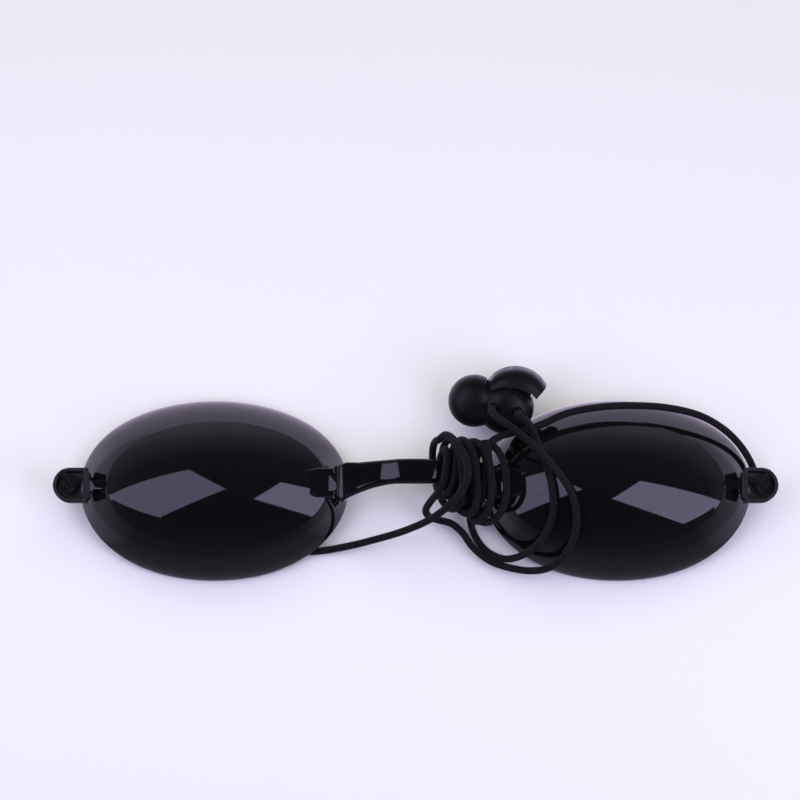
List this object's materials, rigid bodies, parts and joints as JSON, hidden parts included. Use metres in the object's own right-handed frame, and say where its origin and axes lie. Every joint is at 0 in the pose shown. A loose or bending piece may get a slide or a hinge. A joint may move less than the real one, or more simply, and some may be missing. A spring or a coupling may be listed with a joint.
{
  "type": "laser safety goggles",
  "caption": "Opaque patient eye shields for laser work: two glossy oval cups on a hinged nose bridge, with an elastic cord wound round it and a sliding cord lock.",
  "frame": {"origin": "midway between the two cups, on the surface that their rims rest on", "axes": "+X along the pair to the cup at the picture's right, +Y to the forehead side, +Z out of the front of the goggles"},
  "size_m": [0.1486, 0.0446, 0.0217],
  "materials": {
    "cup_gloss": "mirror gloss, opaque black",
    "tab_matte": "matte black",
    "lock_satin": "satin black",
    "cord": "braided black elastic",
    "steel": "bright"
  },
  "bodies": {
    "bridge": {"nose_bridge": "cup_gloss", "left_hinge_pin": "steel", "right_hinge_pin": "steel", "left_cord": "cord", "inner_winding": "cord", "cord_loop": "cord", "outer_winding": "cord", "right_cord": "cord", "lock_body": "lock_satin", "lock_spring": "steel"},
    "left_shield": {"left_cup": "cup_gloss", "left_strap_tab": "tab_matte", "left_knot": "cord"},
    "right_shield": {"right_cup": "cup_gloss", "right_strap_tab": "tab_matte", "right_knot": "cord"},
    "button": {"lock_button": "lock_satin"}
  },
  "joints": [
    {"name": "left_hinge", "type": "hinge", "parent": "bridge", "child": "left_shield", "pos_m": [-0.0148, 0, 0.0112], "axis": [0, -1, 0], "range_deg": [0, 15], "deforming": ["left_cord"]},
    {"name": "right_hinge", "type": "hinge", "parent": "bridge", "child": "right_shield", "pos_m": [0.0148, 0, 0.0112], "axis": [0, 1, 0], "range_deg": [0, 15], "deforming": ["right_cord"]},
    {"name": "lock_press", "type": "slide", "parent": "bridge", "child": "button", "axis": [-0.1632, -0.9254, -0.342], "range_m": [0, 0.001], "stiffness_N_per_m": 400, "springref_m": -0.003, "deforming": ["lock_spring"]}
  ]
}
